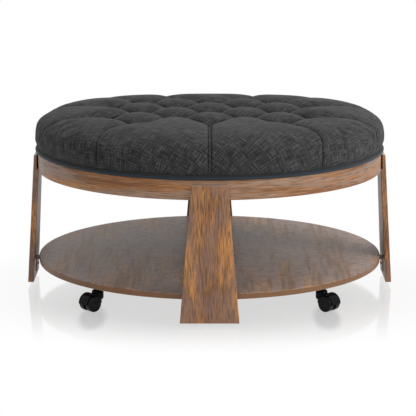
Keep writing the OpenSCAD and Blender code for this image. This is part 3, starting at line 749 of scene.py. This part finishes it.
@dataclass
class TuftedCushion:
    """Round cushion drawn down by tufts in diamonds, with pleats from the outer tufts to the welt.

    The cover is laid out flat, as the upholsterer does it: a point's distance from the middle is its
    distance over the crown and down the side. There every crease is a straight line, and every pleat is
    straight or slightly bowed.
    """

    # The cushion without tufts: its radius, the height of its foot above the floor and of its upright side
    radius: float = 0.454
    foot_z: float = 0.3683
    side_height: float = 0.048
    # Height of the crown above the side, and how square its outline is
    crown: float = 0.0505
    crown_power: float = 5.8
    # How much lower the crown is at the back, and how late that sets in
    slump: float = 0.036
    slump_power: float = 2.5
    # How far the side bulges, how far it draws in at the foot, and how far down that starts
    bulge: float = 0.002
    foot_inset: float = 0.0035
    inset_from: float = 0.55
    # Points in the outline of the crown and of the side, and how far off each point its slope is measured
    crown_points: int = 900
    side_points: int = 150
    slope_reach: float = 0.004
    # The tufts stand on every second point of this grid, as far out as the reach
    tuft_x: float = 0.090
    tuft_y: float = 0.085
    columns: int = 3
    rows: tuple[int, ...] = (-3, -2, -1, 0, 1, 2)
    reach: float = 0.341
    # Column and row of each outer tuft, the angle from the front at which its pleat ends, and its bow
    pleats: tuple[tuple[int, int, float, float], ...] = (
        (0, -3, 0.0, 0.0), (2, -3, 37.2, 0.017), (3, -2, 69.0, 0.017), (3, 0, 98.0, 0.010),
        (2, 1, 131.0, 0.008), (1, 2, 160.0, 0.004),
    )
    # Points along a bow, and how far its highest point lies past the middle, as a power
    bow_points: int = 7
    bow_power: float = 1.2
    # How deep the tufts, creases and pleats draw the cloth in, and how wide the hollow of each is
    tuft_depth: float = 0.033
    crease_depth: float = 0.019
    pleat_depth: float = 0.014
    tuft_w: float = 0.050
    crease_w: float = 0.058
    pleat_w: float = 0.060
    # Share of the sharp form in a hollow, whose rest is a parabola, and how sharp it is on its line
    sharp_share: float = 0.65
    sharpness: float = 0.96
    # How far from its tuft a pleat gets shallower, and the share of its depth that is left there
    taper: float = 0.12
    taper_share: float = 0.35
    # Share of the hollows' depth on the side, and how far inside the rim and above the foot it changes
    side_share: float = 0.08
    rim_band: float = 0.065
    foot_band: float = 0.014
    # Width and depth of the slit where the cloth is folded under, and width of the flap in the straight
    # pleat at the front: the bowed ones are folded to one side and show one line
    slit_w: float = 0.0014
    slit_depth: float = 0.008
    flap_w: float = 0.0078
    # Strength of a pleat's slit at its tuft and further out, and how far out that is
    slit_start: float = 0.35
    slit_full: float = 0.65
    slit_run: float = 0.05
    # Share of every slit that is left at the foot, and how far above the foot it starts to close
    slit_foot: float = 0.1
    slit_foot_run: float = 0.02
    # Width and strength of the shade in the hollow along a crease, and how much stronger it is round a tuft
    hollow_w: float = 0.012
    hollow_share: float = 0.55
    pit_w: float = 0.02
    pit_share: float = 0.35
    # The cover's hem, which is drawn down between the deck's edge and the welt
    hem_r: float = 0.4482
    tuck_r: float = 0.4470
    hem_drop: float = 0.0032
    # Distance between the points of the cover and between those along its folds, the rows of points along
    # a fold in widths of its slit, and how far short of the rim they end
    step: float = 0.0058
    fold_step: float = 0.0035
    fold_rows: tuple[float, ...] = (-2.2, -1.0, 0.0, 1.0, 2.2)
    fold_end: float = 0.0005
    # Least gap between the other points and the rim, and between them and those rows, in steps
    rim_gap: float = 0.6
    row_gap: float = 0.3
    # The cloth simulation: distance between points, pressure, frames, and how far a point may move
    cloth_step: float = 0.0065
    pressure: float = 3.0
    frames: int = 20
    cap: float = 0.005
    # Firm upholstery cloth, cut 2% too large
    cloth: tuple[tuple[str, float], ...] = (
        ("quality", 6), ("mass", 0.4), ("tension_stiffness", 12), ("compression_stiffness", 12),
        ("shear_stiffness", 5), ("bending_stiffness", 0.8), ("shrink_min", -0.02),
    )
    # How far from a fold the cloth is held, in steps, and how far above the foot
    hold_reach: float = 0.9
    hold_foot: float = 0.012
    # How many points of the simulated cover lead a point of the fine one
    leads: int = 4
    finish: WovenLinen = field(default_factory=WovenLinen)

    def __post_init__(self) -> None:
        """Works out the outline of the cushion without tufts, from the middle to the foot."""
        turn = np.linspace(0, math.pi / 2, self.crown_points)
        r = self.radius * np.sin(turn) ** (2 / self.crown_power)
        h = self.crown * np.cos(turn)
        down = np.linspace(0, 1, self.side_points)[1:]
        inset = self.foot_inset * ease((down - self.inset_from) / (1 - self.inset_from))
        side_r = self.radius + self.bulge * np.sin(math.pi * down) - inset
        self.line_r = np.concatenate([r, side_r])
        self.line_h = np.concatenate([h, -self.side_height * down])
        self.line_s = np.concatenate([[0], np.cumsum(np.hypot(np.diff(self.line_r), np.diff(self.line_h)))])
        self.foot_s = float(self.line_s[-1])
        self.rim_s = float(self.line_s[self.crown_points - 1])

    def tuft(self, column: int, row: int) -> tuple[float, float]:
        """Returns the place of a tuft on the flat cloth."""
        return column * self.tuft_x, (row + 0.5) * self.tuft_y

    def is_tuft(self, column: int, row: int) -> bool:
        """Says whether the pattern has a tuft there."""
        inside = abs(column) <= self.columns and row in self.rows
        return inside and (column + row) % 2 == 1 and math.hypot(*self.tuft(column, row)) < self.reach

    def tufts(self) -> Array:
        """Returns the places of all tufts on the flat cloth."""
        columns = range(-self.columns, self.columns + 1)
        return np.array([self.tuft(i, j) for i in columns for j in self.rows if self.is_tuft(i, j)])

    def creases(self) -> list[Array]:
        """Draws the creases between neighbouring tufts on the flat cloth.

        Returns:
            Each crease as its two ends.
        """
        columns = range(-self.columns, self.columns + 1)
        return [
            np.array([self.tuft(i, j), self.tuft(i + 1, j + s)])
            for i in columns for j in self.rows for s in (-1, 1)
            if self.is_tuft(i, j) and self.is_tuft(i + 1, j + s)
        ]

    def pleat_lines(self) -> list[Array]:
        """Draws the pleats on the flat cloth, each with its twin on the other side.

        Returns:
            Each pleat as a row of points: its tuft, a bow to the rim, and the foot.
        """
        lines = []
        for column, row, angle, bow in self.pleats:
            for side in (-1, 1) if column else (1,):
                a = math.radians(angle)
                way = np.array([side * math.sin(a), -math.cos(a)])
                start, end = np.array(self.tuft(side * column, row)), self.rim_s * way
                aside = side * np.array([start[1] - end[1], end[0] - start[0]]) / np.linalg.norm(end - start)
                share = np.linspace(0, 1, self.bow_points if bow else 2)[:, None]
                arch = bow * np.sin(math.pi * share ** self.bow_power) * aside
                lines.append(np.vstack([start + share * (end - start) + arch, self.foot_s * way]))
        return lines

    def folds(self) -> list[Array]:
        """Returns all creases and pleats."""
        return self.creases() + self.pleat_lines()

    @staticmethod
    def distance(q: Array, line: Array) -> Array:
        """Measures how far points are from a line.

        Args:
            q: Points on the flat cloth.
            line: Two or more points, which the line joins.

        Returns:
            The distance of each point.
        """
        gaps = []
        for a, b in zip(line[:-1], line[1:]):
            t = np.clip((q - a) @ (b - a) / ((b - a) @ (b - a)), 0, 1)
            gaps.append(np.linalg.norm(q - a - t[:, None] * (b - a), axis=1))
        return np.min(gaps, axis=0)

    def groove(self, distance: Array, width: float) -> Array:
        """Shapes a hollow with a sharp fold.

        Args:
            distance: Distance of each point from the fold.
            width: Distance at which the hollow ends.

        Returns:
            The depth of each point, from 1 on the fold to 0 at the width.
        """
        u = np.clip(1 - distance / width, 0, 1)
        arc = (1 - np.sqrt(1 - self.sharpness * u * u)) / (1 - math.sqrt(1 - self.sharpness))
        return self.sharp_share * arc + (1 - self.sharp_share) * u * u

    def sink(self, q: Array) -> Array:
        """Works out how deep the tufts, creases and pleats draw the cloth in.

        Args:
            q: Points on the flat cloth.

        Returns:
            The depth of each point below the cushion without tufts.
        """
        away = np.linalg.norm(q, axis=1)
        keep = np.ones(len(q))
        for line in self.creases():
            keep *= 1 - self.groove(self.distance(q, line), self.crease_w)
        share = self.pleat_depth / self.crease_depth
        for line in self.pleat_lines():
            gone = ease(np.linalg.norm(q - line[0], axis=1) / self.taper)
            left = share * (1 - (1 - self.taper_share) * gone)
            keep *= 1 - left * self.groove(self.distance(q, line), self.pleat_w)
        pinch = np.ones(len(q))
        for tuft in self.tufts():
            pinch *= 1 - self.groove(np.linalg.norm(q - tuft, axis=1), self.tuft_w)
        side = [self.rim_s - self.rim_band, self.rim_s, self.foot_s - self.foot_band, self.foot_s]
        fade = np.interp(away, side, [1, self.side_share, self.side_share, 0])
        return fade * (self.crease_depth * (1 - keep) + (self.tuft_depth - self.crease_depth) * (1 - pinch))

    def folded(self, q: Array) -> Array:
        """Works out how far the cloth is folded under along creases and pleats.

        Args:
            q: Points on the flat cloth.

        Returns:
            0 where it is open, to 1 in the middle of a fold.
        """
        depth = np.zeros(len(q))
        for line in self.creases():
            depth = np.maximum(depth, np.exp(-(self.distance(q, line) / self.slit_w) ** 2))
        for line in self.pleat_lines():
            aside = np.abs(self.distance(q, line) - self.flap(line) / 2)
            out = ease(np.linalg.norm(q - line[0], axis=1) / self.slit_run)
            strength = self.slit_start + (self.slit_full - self.slit_start) * out
            depth = np.maximum(depth, np.exp(-(aside / self.slit_w) ** 2) * strength)
        above = ease((self.foot_s - np.linalg.norm(q, axis=1)) / self.slit_foot_run)
        return depth * (self.slit_foot + (1 - self.slit_foot) * above)

    def flap(self, line: Array) -> float:
        """Returns the width of a line's flap, which only the straight pleat, a line of three points, has."""
        return self.flap_w if len(line) == 3 else 0.0

    def hollow(self, q: Array) -> Array:
        """Works out how deep in the shade of a crease the cloth is.

        Args:
            q: Points on the flat cloth.

        Returns:
            0 in full light, to 1 in full shade.
        """
        near = np.min([self.distance(q, line) for line in self.creases()], axis=0)
        pit = np.min([np.linalg.norm(q - tuft, axis=1) for tuft in self.tufts()], axis=0)
        share = self.hollow_share + self.pit_share * np.exp(-(pit / self.pit_w) ** 2)
        return share * np.exp(-(near / self.hollow_w) ** 2)

    def shape(self, q: Array, depth: Array) -> Array:
        """Lays the flat cloth over the cushion.

        Args:
            q: Points on the flat cloth.
            depth: How deep each point is drawn in.

        Returns:
            The points in space.
        """
        s = np.linalg.norm(q, axis=1)
        way = q / np.maximum(s, TINY)[:, None]
        r, h = np.interp(s, self.line_s, self.line_r), np.interp(s, self.line_s, self.line_h)
        low, high = s - self.slope_reach, s + self.slope_reach
        dr = np.interp(high, self.line_s, self.line_r) - np.interp(low, self.line_s, self.line_r)
        dh = np.interp(high, self.line_s, self.line_h) - np.interp(low, self.line_s, self.line_h)
        length = np.maximum(np.hypot(dr, dh), TINY)
        out_r, out_z = -dh / length, dr / length
        y = r * way[:, 1]
        z = self.foot_z + self.side_height + h
        back = np.clip(y / self.radius, 0, 1) ** self.slump_power
        z -= self.slump * back * np.clip(h, 0, None) / self.crown
        plan = (r - depth * out_r)[:, None] * way
        return np.column_stack([plan, z - depth * out_z])

    def offset_row(self, line: Array, aside: float) -> Array:
        """Sets a row of points off from a line.

        Args:
            line: The points that the line joins.
            aside: How far to its left the row lies.

        Returns:
            Evenly spaced points on the flat cloth, which end short of the rim.
        """
        points = []
        for a, b in zip(line[:-1], line[1:]):
            way = (b - a) / np.linalg.norm(b - a)
            count = max(2, int(np.linalg.norm(b - a) / self.fold_step))
            share = np.linspace(0, 1, count, endpoint=False)[:, None]
            points.append(a + share * (b - a) + aside * np.array([-way[1], way[0]]))
        points.append([line[-1] + aside * np.array([-way[1], way[0]])])
        row = np.concatenate(points)
        return row[np.linalg.norm(row, axis=1) < self.foot_s - self.fold_end]

    def guides(self, step: float, fine: bool) -> tuple[Array, list]:
        """Lays points along the rim and the folds, which the triangles' edges then follow.

        Args:
            step: Distance between points on the rim.
            fine: Whether points follow the folds too.

        Returns:
            The points on the flat cloth, and the pairs of them that an edge joins.
        """
        count = int(2 * math.pi * self.foot_s / step)
        turn = np.arange(count) * 2 * math.pi / count
        rows = [self.foot_s * np.column_stack([np.sin(turn), -np.cos(turn)])]
        edges = [(k, (k + 1) % count) for k in range(count)]
        for line in self.folds() if fine else []:
            flap = self.flap(line) / 2
            for middle in (-flap, flap) if flap else (0.0,):
                for aside in self.fold_rows:
                    row = self.offset_row(line, middle + aside * self.slit_w)
                    edges += [(count + k, count + k + 1) for k in range(len(row) - 1)]
                    count += len(row)
                    rows.append(row)
        return np.concatenate(rows), edges

    def layout(self, step: float, fine: bool) -> tuple[Array, list]:
        """Covers the flat cloth with triangles.

        Args:
            step: Distance between points away from the folds.
            fine: Whether points and edges follow the folds.

        Returns:
            The points on the flat cloth and the triangles.
        """
        guide, edges = self.guides(step, fine)
        grid = []
        for k, y in enumerate(np.arange(-self.foot_s, self.foot_s, step * math.sqrt(3) / 2)):
            x = np.arange(-self.foot_s, self.foot_s, step) + (step / 2 if k % 2 else 0)
            grid.append(np.column_stack([x, np.full(len(x), y)]))
        grid = np.concatenate(grid)
        grid = grid[np.linalg.norm(grid, axis=1) < self.foot_s - step * self.rim_gap]
        if fine:
            near = np.min([self.distance(grid, line) for line in self.folds()], axis=0)
            grid = grid[near > self.flap_w / 2 + self.fold_rows[-1] * self.slit_w + step * self.row_gap]
        points = [Vector(point) for point in np.concatenate([guide, grid])]
        points, _, faces, *_ = delaunay_2d_cdt(points, edges, [], INSIDE, MERGE, False)
        return np.array([tuple(point) for point in points]), [tuple(face) for face in faces]

    def held(self, q: Array) -> Array:
        """Works out how firmly the folds and the foot hold the cloth in the simulation.

        Args:
            q: Points on the flat cloth.

        Returns:
            0 where the cloth is free, to 1 where it can't move.
        """
        near = np.min([self.distance(q, line) for line in self.folds()], axis=0)
        held = np.clip(1 - near / (self.hold_reach * self.cloth_step), 0, 1)
        held[np.linalg.norm(q, axis=1) > self.foot_s - self.hold_foot] = 1
        return held

    def inflate(self) -> tuple[Array, Array]:
        """Blows the cover up between its folds with a cloth simulation.

        Returns:
            The points of the coarse cover at rest, and how far each of them moved.
        """
        q, faces = self.layout(self.cloth_step, False)
        start = self.shape(q, self.sink(q))
        pad = mesh_object("cover_in_work", start, faces)
        held = self.held(q)
        group = pad.vertex_groups.new(name="held")
        for index in np.nonzero(held)[0]:
            group.add([int(index)], float(held[index]), "REPLACE")
        modifier = pad.modifiers.new("cover", "CLOTH")
        settings = modifier.settings
        settings.vertex_group_mass = "held"
        for name, value in self.cloth:
            setattr(settings, name, value)
        settings.use_pressure = True
        settings.uniform_pressure_force = self.pressure
        settings.effector_weights.gravity = 0
        modifier.point_cache.frame_start = 1
        modifier.point_cache.frame_end = self.frames
        scene = bpy.context.scene
        for frame in range(1, self.frames + 1):
            scene.frame_set(frame)
        graph = bpy.context.evaluated_depsgraph_get()
        result = pad.evaluated_get(graph).to_mesh()
        moved = np.empty(len(q) * 3)
        result.vertices.foreach_get("co", moved)
        moved = moved.reshape(-1, 3) - start
        scene.frame_set(1)
        bpy.data.objects.remove(pad)
        far = np.linalg.norm(moved, axis=1)
        LOG.info("cover moved %.1f mm on average, %.1f mm at most", 1000 * far.mean(), 1000 * far.max())
        moved *= (self.cap * np.tanh(far / self.cap) / np.maximum(far, TINY))[:, None]
        return q, moved

    def carried(self, q: Array) -> Array:
        """Carries what the simulation moved over to the fine cover.

        Args:
            q: Points of the fine cover on the flat cloth.
        """
        coarse, moved = self.inflate()
        tree = KDTree(len(coarse))
        for index, point in enumerate(coarse):
            tree.insert((point[0], point[1], 0), index)
        tree.balance()
        out = np.empty((len(q), 3))
        for row, point in enumerate(q):
            found = tree.find_n((point[0], point[1], 0), self.leads)
            weight = np.array([1 / (gap + CLOSE) ** 2 for _, _, gap in found])
            out[row] = weight @ moved[[index for _, index, _ in found]] / weight.sum()
        return out

    def closed(self, q: Array, points: Array, faces: list) -> tuple[Array, list]:
        """Closes the cover with its hem and a flat underside.

        Args:
            q: Points of the cover on the flat cloth.
            points: The same points in space.
            faces: The cover's faces.

        Returns:
            All points in space, of which the cover's come first, and all faces.
        """
        # The points on the rim, in order round it
        rim = np.nonzero(np.linalg.norm(q, axis=1) > self.foot_s - CLOSE)[0]
        rim = rim[np.argsort(np.arctan2(q[rim, 1], q[rim, 0]))]
        way = q[rim] / np.linalg.norm(q[rim], axis=1)[:, None]
        middle = len(points)
        added, loops, first = [[(0, 0, self.foot_z)]], [rim.tolist()], middle + 1
        for r, drop in ((self.hem_r, self.hem_drop), (self.tuck_r, self.hem_drop), (self.tuck_r, 0.0)):
            added.append(np.column_stack([r * way, np.full(len(rim), self.foot_z - drop)]))
            loops.append(list(range(first, first + len(rim))))
            first += len(rim)
        for upper, lower in zip(loops[:-1], loops[1:]):
            faces += [(a, d, c, b) for a, b, c, d in zip(
                upper, upper[1:] + upper[:1], lower[1:] + lower[:1], lower)]
        faces += [(b, a, middle) for a, b in zip(loops[-1], loops[-1][1:] + loops[-1][:1])]
        return np.concatenate([points, *added]), faces

    def build(self) -> bpy.types.Object:
        """Builds, dresses and places the cushion.

        Returns:
            The cushion.
        """
        q, faces = self.layout(self.step, True)
        folded = self.folded(q)
        cover = self.shape(q, self.sink(q) + self.slit_depth * folded) + self.carried(q)
        points, faces = self.closed(q, cover, faces)
        piece = mesh_object("cushion", points, faces)
        # The hem and the underside are plain
        rest = len(points) - len(q)
        cloth = piece.data.attributes.new("cloth", "FLOAT_VECTOR", "POINT")
        cloth.data.foreach_set("vector", np.pad(q, ((0, rest), (0, 1))).ravel())
        # Painted shade: how far the cloth is folded under, and the shade in the hollows along the creases and
        # round the tufts
        shade = piece.data.attributes.new("folded", "FLOAT", "POINT")
        shade.data.foreach_set("value", np.pad(np.maximum(folded, self.hollow(q)), (0, rest)))
        self.finish.dress(piece)
        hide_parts("seat_cushion")
        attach(piece, BODY)
        LOG.info("cushion: %d points, %d faces", len(points), len(faces))
        return piece


@dataclass
class WoodParts:
    """The wooden parts, each with the fibres as they run in the real board."""

    def dress(self, nodes: dict[str, bpy.types.Object]) -> None:
        """Dresses the ring, the legs, the shelf and the wood inside the seat.

        Args:
            nodes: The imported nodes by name.
        """
        ring = RusticOak(name="rustic_oak_ring", grain=Grain.ROUND, dark="6a3f1c", mid="8f5c30",
                         light="ad7c4b", bare="8a7566", bare_share=0.7, bare_from=0.46, end_share=0.0,
                         fibre_length_mm=90.0, pore_length_mm=45.0, patch_length_mm=300.0, start_mm=600.0)
        # Its pores are the saw's marks, drawn across the fibres, and its end colour is on its upright edge
        shelf = RusticOak(name="rustic_oak_shelf", grain=Grain.BACK, dark="755842", mid="957156",
                          light="ae8563", bare="867570", bare_share=0.75, bare_from=0.46, pore="4c3d33",
                          pore_share=0.5, fibre_mm=9.0, fibre_length_mm=110.0, pore_mm=24.0,
                          pore_length_mm=9.0, patch_mm=62.0, patch_length_mm=280.0, roughness=0.45,
                          specular=0.33, end="6c492b", end_share=0.9, end_tilt=(0.5, 0.2))
        facing_y = RusticOak(name="rustic_oak_leg_front", grain=Grain.UP_FACING_Y, start_mm=250.0)
        facing_x = RusticOak(name="rustic_oak_leg_side", grain=Grain.UP_FACING_X, start_mm=250.0)
        # The wood inside the seat is made the same way, in the colours of pine
        inner = RusticOak(name="planed_pine", grain=Grain.ACROSS, dark="a07a4a", mid="b98f5c", light="d2ad7a",
                          bare="c0a27c", bare_share=0.3, pore="8a6a44", roughness=0.7, end_share=0.0)
        wanted = {
            "apron_ring": ring, "shelf_board": shelf, "front_leg": facing_y, "back_leg": facing_y,
            "left_leg": facing_x, "right_leg": facing_x, "seat_deck": inner, "leg_blocks": inner,
            "corner_cleats": inner, "seat_battens": inner,
        }
        dress_all(nodes, wanted)


@dataclass
class Hardware:
    """Steel, brass and nylon parts."""

    def dress(self, nodes: dict[str, bpy.types.Object]) -> None:
        """Dresses the fasteners, the brackets and the casters.

        Args:
            nodes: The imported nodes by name.
        """
        steel = PlatedMetal()
        brown = PlatedMetal(name="powder_coated_steel_brown", colour="8f7464", shade="7a6253", metallic=0.0,
                            roughness=0.45)
        brass = PlatedMetal(name="turned_brass", colour="c19a52", shade="a07c3c", roughness=0.3)
        hood = MouldedNylon()
        wheel = MouldedNylon(name="moulded_nylon_wheel", colour="060607", worn="121213", roughness=0.3,
                             specular=0.14)
        spacer = MouldedNylon(name="moulded_nylon_spacer", colour="222223", worn="2e2e30", roughness=0.55,
                              specular=0.2)
        washer = MouldedNylon(name="moulded_nylon_white", colour="c9c5bb", worn="b4b0a6", roughness=0.5,
                              specular=0.2)
        wanted = {
            "leg_bolts": steel, "leg_bolt_washers": steel, "deck_screws": steel, "batten_screws": steel,
            "bracket_screws": steel, "bracket_bolts": steel, "caster_plates": steel,
            "caster_screws": steel, "king_pins": steel, "king_pin_clips": steel,
            "shelf_brackets": brown, "leg_inserts": brass, "bracket_inserts": brass,
            "leg_spacers": spacer, "swivel_washers": washer,
        }
        for name in CASTER_NAMES:
            wanted[f"{name}_axle"] = steel
            wanted[f"{name}_hood"] = hood
            for side in ("a", "b"):
                wanted[f"{name}_wheel_{side}"] = wheel
        dress_all(nodes, wanted)


@dataclass
class Trim:
    """Piping, dust cover and twine."""

    def dress(self, nodes: dict[str, bpy.types.Object]) -> None:
        """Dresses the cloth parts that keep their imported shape.

        Args:
            nodes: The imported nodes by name.
        """
        wanted = {
            # The piping carries painted shade where its face looks up or down
            "welt_cord": PlainCloth(dark="0f1922", light="26323d", painted_edge_shade=0.85),
            "dust_cover": PlainCloth(name="non_woven_dust_cloth", dark="101112", light="1e1f20"),
            "tuft_ties": PlainCloth(name="waxed_twine", dark="b3ab97", light="d9d2c0"),
        }
        dress_all(nodes, wanted)


def main(frame: dict, cad_box: list) -> None:
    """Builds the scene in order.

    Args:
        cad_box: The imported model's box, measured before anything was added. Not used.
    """
    bpy.context.scene.view_settings.view_transform = "Standard"
    PhotoCamera().build()
    Studio().build()
    WoodParts().dress(frame["nodes"])
    Hardware().dress(frame["nodes"])
    Trim().dress(frame["nodes"])
    TuftedCushion().build()


if __name__ == "__main__":
    logging.basicConfig(level=logging.INFO, format="%(message)s")
    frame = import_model()
    main(frame, [list(map(float, corner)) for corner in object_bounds()])
